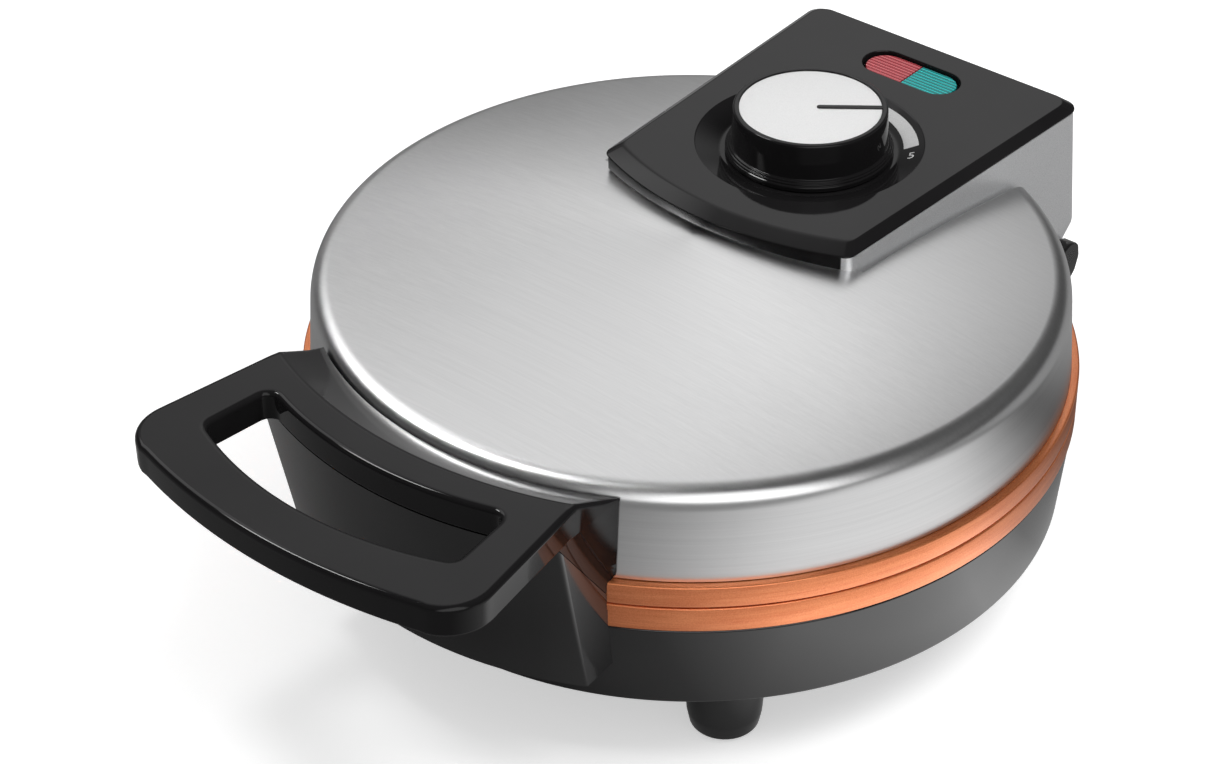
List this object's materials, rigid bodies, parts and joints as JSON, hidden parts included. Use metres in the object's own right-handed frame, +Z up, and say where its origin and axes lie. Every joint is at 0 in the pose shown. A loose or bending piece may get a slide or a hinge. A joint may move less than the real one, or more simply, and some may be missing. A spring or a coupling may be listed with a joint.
{
  "type": "belgian waffle maker",
  "caption": "Round countertop waffle maker with a hinged domed lid, loop handle, rear control housing and temperature dial",
  "frame": {"origin": "centre of the bounding box in plan, at the table under the foot pads", "axes": "+Z up, -Y towards the handle, +Y towards the hinge and control housing, +X to the right as seen from the handle"},
  "size_m": [0.2316, 0.3092, 0.1212],
  "materials": {
    "black_plastic": "fine satin black moulding",
    "gloss_black": "gloss black moulding",
    "rubber": "matt",
    "brushed_steel": "linear brushed stainless",
    "copper_trim": "copper-coloured metallic, fine lines",
    "silver_plastic": "satin silver paint",
    "cast_plate": "cast, dark non-stick coating",
    "bright_steel": "bright plated steel",
    "element_steel": "heat-darkened tube",
    "pan_steel": "plain sheet",
    "silver_disc": "fine satin",
    "red_lens": "clear coloured moulding",
    "teal_lens": "clear coloured moulding",
    "lamp_glass": "clear",
    "ceramic": "unglazed",
    "pale_nylon": "natural"
  },
  "bodies": {
    "base": {"base_housing": "black_plastic", "bottom_cover": "black_plastic", "foot_1": "black_plastic", "foot_2": "black_plastic", "foot_3": "black_plastic", "foot_4": "black_plastic", "base_frame": "black_plastic", "foot_pad_1": "rubber", "foot_pad_2": "rubber", "foot_pad_3": "rubber", "foot_pad_4": "rubber", "cord_gland": "rubber", "base_band": "copper_trim", "lower_grid": "cast_plate", "bottom_screw_1": "bright_steel", "bottom_screw_2": "bright_steel", "bottom_screw_3": "bright_steel", "bottom_screw_4": "bright_steel", "hinge_pin": "bright_steel", "lower_grid_screw_1": "bright_steel", "lower_grid_screw_2": "bright_steel", "lower_grid_screw_3": "bright_steel", "lower_heater": "element_steel", "lower_reflector": "pan_steel", "thermal_fuse": "ceramic", "terminal_block": "pale_nylon"},
    "lid": {"lid_cover": "brushed_steel", "lid_band": "copper_trim", "lid_frame": "black_plastic", "upper_grid": "cast_plate", "upper_heater": "element_steel", "upper_reflector": "pan_steel", "upper_grid_screw_1": "bright_steel", "upper_grid_screw_2": "bright_steel", "upper_grid_screw_3": "bright_steel", "lid_handle": "gloss_black", "handle_screw_left": "bright_steel", "handle_screw_right": "bright_steel", "control_housing": "silver_plastic", "control_panel": "gloss_black", "power_lens": "red_lens", "ready_lens": "teal_lens", "power_lamp": "lamp_glass", "ready_lamp": "lamp_glass", "lamp_holder": "pale_nylon", "thermostat_bracket": "pan_steel", "thermostat_body": "ceramic"},
    "dial": {"dial_knob": "gloss_black", "knob_disc": "silver_disc", "thermostat_shaft": "bright_steel"}
  },
  "joints": [
    {"name": "lid_hinge", "type": "hinge", "parent": "base", "child": "lid", "pos_m": [0, 0.14155, 0.0592], "axis": [-1, 0, 0], "range_deg": [0, 105]},
    {"name": "dial_turn", "type": "hinge", "parent": "lid", "child": "dial", "pos_m": [0, 0.08005, 0.105], "axis": [0, 0, 1], "range_deg": [-7.6, 127.4]}
  ]
}
